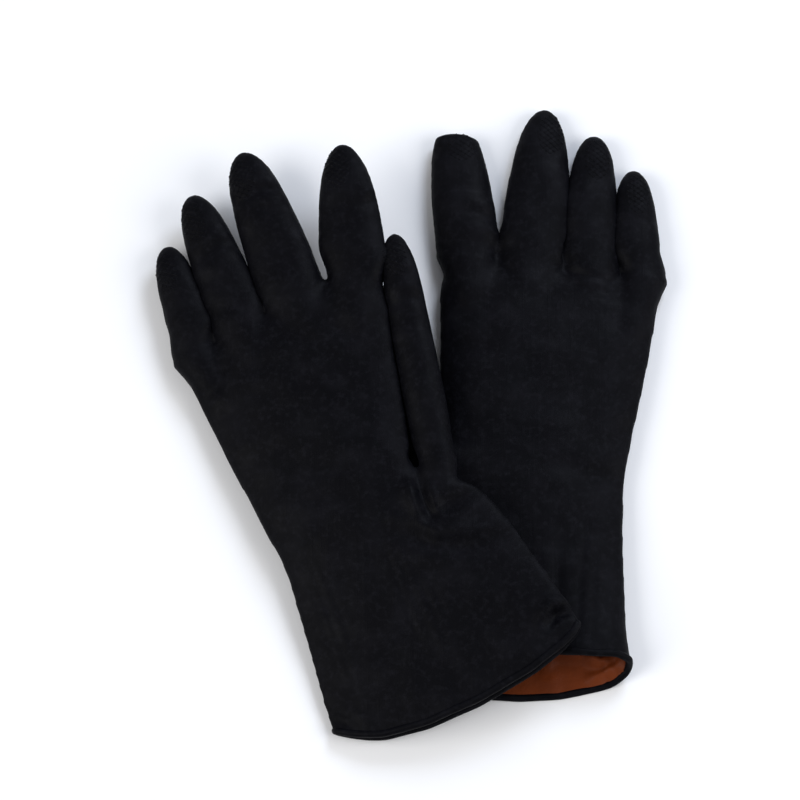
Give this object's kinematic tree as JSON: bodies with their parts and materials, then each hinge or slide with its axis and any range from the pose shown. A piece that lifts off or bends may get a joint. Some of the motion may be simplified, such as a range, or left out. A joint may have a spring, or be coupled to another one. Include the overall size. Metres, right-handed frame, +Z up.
{
  "type": "electrical insulating gloves",
  "caption": "Pair of dipped rubber insulating gloves with gauntlet cuffs, rolled hems and a contrasting inner layer, lying palm up with one over the other.",
  "frame": {"origin": "centre of the pair's outline on the surface it lies on", "axes": "+Z up from that surface, +Y towards the fingertips, +X from the upper (right) glove to the lower (left) glove"},
  "size_m": [0.2916, 0.3814, 0.0437],
  "materials": {
    "outer_rubber": "matte dipped rubber, near black",
    "inner_rubber": "matte dipped rubber, orange",
    "hem_rubber": "matte rolled rubber, near black"
  },
  "bodies": {
    "left_hand": {"left_hand_shell": "outer_rubber", "left_hand_liner": "inner_rubber", "left_cuff_roll": "hem_rubber"},
    "left_thumb": {"left_thumb_shell": "outer_rubber", "left_thumb_liner": "inner_rubber"},
    "left_index": {"left_index_shell": "outer_rubber", "left_index_liner": "inner_rubber"},
    "left_middle": {"left_middle_shell": "outer_rubber", "left_middle_liner": "inner_rubber"},
    "left_ring": {"left_ring_shell": "outer_rubber", "left_ring_liner": "inner_rubber"},
    "left_little": {"left_little_shell": "outer_rubber", "left_little_liner": "inner_rubber"},
    "right_hand": {"right_hand_shell": "outer_rubber", "right_hand_liner": "inner_rubber", "right_cuff_roll": "hem_rubber"},
    "right_thumb": {"right_thumb_shell": "outer_rubber", "right_thumb_liner": "inner_rubber"},
    "right_index": {"right_index_shell": "outer_rubber", "right_index_liner": "inner_rubber"},
    "right_middle": {"right_middle_shell": "outer_rubber", "right_middle_liner": "inner_rubber"},
    "right_ring": {"right_ring_shell": "outer_rubber", "right_ring_liner": "inner_rubber"},
    "right_little": {"right_little_shell": "outer_rubber", "right_little_liner": "inner_rubber"}
  },
  "joints": [
    {"name": "right_glove_lift", "type": "slide", "parent": "left_hand", "child": "right_hand", "axis": [0, 0, 1], "range_m": [0, 0.25]},
    {"name": "right_index_bend", "type": "hinge", "parent": "right_hand", "child": "right_index", "pos_m": [-0.03102, 0.06605, 0.04007], "axis": [0.8829, 0.4211, 0.2079], "range_deg": [0, 85], "stiffness_Nm_per_rad": 0.03},
    {"name": "right_middle_bend", "type": "hinge", "parent": "right_hand", "child": "right_middle", "pos_m": [-0.06104, 0.05173, 0.033], "axis": [0.8829, 0.4211, 0.2079], "range_deg": [0, 85], "stiffness_Nm_per_rad": 0.03},
    {"name": "right_ring_bend", "type": "hinge", "parent": "right_hand", "child": "right_ring", "pos_m": [-0.09017, 0.03784, 0.02614], "axis": [0.8829, 0.4211, 0.2079], "range_deg": [0, 85], "stiffness_Nm_per_rad": 0.03},
    {"name": "right_little_bend", "type": "hinge", "parent": "right_hand", "child": "right_little", "pos_m": [-0.11621, 0.02541, 0.02001], "axis": [0.8829, 0.4211, 0.2079], "range_deg": [0, 85], "stiffness_Nm_per_rad": 0.03},
    {"name": "left_index_bend", "type": "hinge", "parent": "left_hand", "child": "left_index", "pos_m": [0.03698, 0.08382, 0.017], "axis": [0.9925, -0.1219, 0], "range_deg": [0, 85], "stiffness_Nm_per_rad": 0.03},
    {"name": "left_middle_bend", "type": "hinge", "parent": "left_hand", "child": "left_middle", "pos_m": [0.07073, 0.07967, 0.017], "axis": [0.9925, -0.1219, 0], "range_deg": [0, 85], "stiffness_Nm_per_rad": 0.03},
    {"name": "left_ring_bend", "type": "hinge", "parent": "left_hand", "child": "left_ring", "pos_m": [0.10348, 0.07565, 0.017], "axis": [0.9925, -0.1219, 0], "range_deg": [0, 85], "stiffness_Nm_per_rad": 0.03},
    {"name": "left_little_bend", "type": "hinge", "parent": "left_hand", "child": "left_little", "pos_m": [0.13276, 0.07206, 0.017], "axis": [0.9925, -0.1219, 0], "range_deg": [0, 85], "stiffness_Nm_per_rad": 0.03},
    {"name": "right_thumb_bend", "type": "hinge", "parent": "right_hand", "child": "right_thumb", "pos_m": [0.01304, -0.03956, 0.03886], "axis": [0.9658, 0.1646, 0.2004], "range_deg": [0, 60], "stiffness_Nm_per_rad": 0.03},
    {"name": "left_thumb_swing", "type": "hinge", "parent": "left_hand", "child": "left_thumb", "pos_m": [-0.0087, -0.01865, 0], "axis": [0, 0, 1], "range_deg": [0, 15], "stiffness_Nm_per_rad": 0.03}
  ]
}
